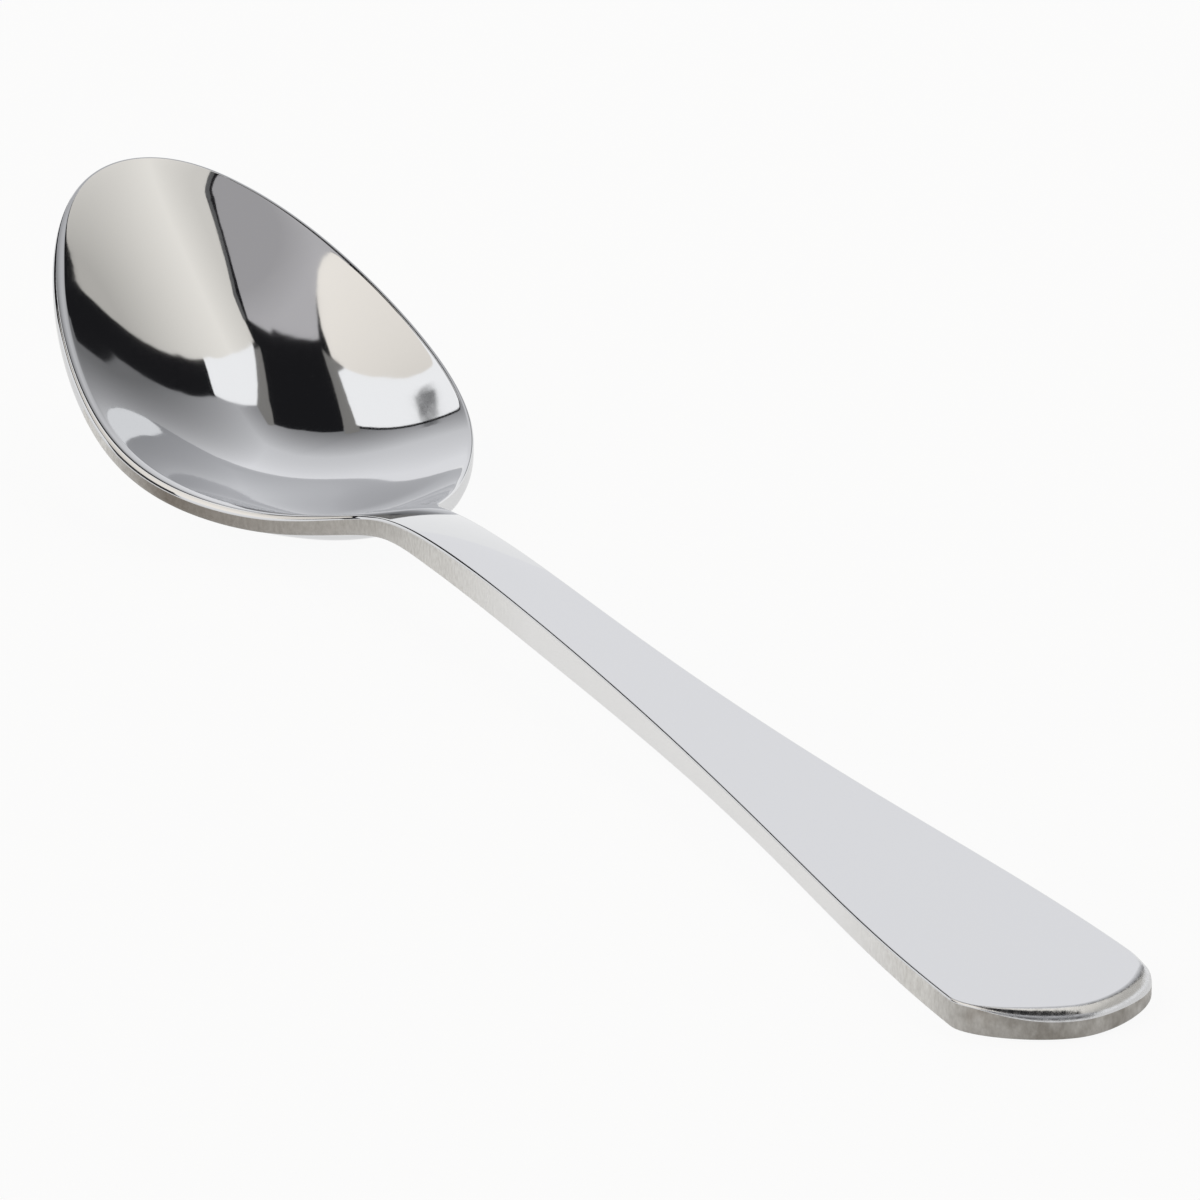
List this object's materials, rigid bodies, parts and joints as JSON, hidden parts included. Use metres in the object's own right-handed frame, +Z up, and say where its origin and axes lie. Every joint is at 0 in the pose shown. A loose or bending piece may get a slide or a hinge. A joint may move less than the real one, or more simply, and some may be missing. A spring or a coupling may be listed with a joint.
{
  "type": "teaspoon",
  "caption": "Polished stainless steel teaspoon with an egg-shaped bowl, a narrow neck and a plain flat handle that widens to a rounded end, lying at rest on a table.",
  "frame": {"origin": "on the table the spoon lies on, under the middle of its length and on its centre line", "axes": "+X from the bowl's tip to the handle's end, +Y across the spoon, +Z up from the table into the open side of the bowl"},
  "size_m": [0.1404, 0.027, 0.0185],
  "materials": {
    "polished_steel": "mirror polished stainless steel, solid metal and not plated"
  },
  "bodies": {
    "root": {"bowl": "polished_steel", "neck": "polished_steel", "handle": "polished_steel"}
  },
  "joints": []
}
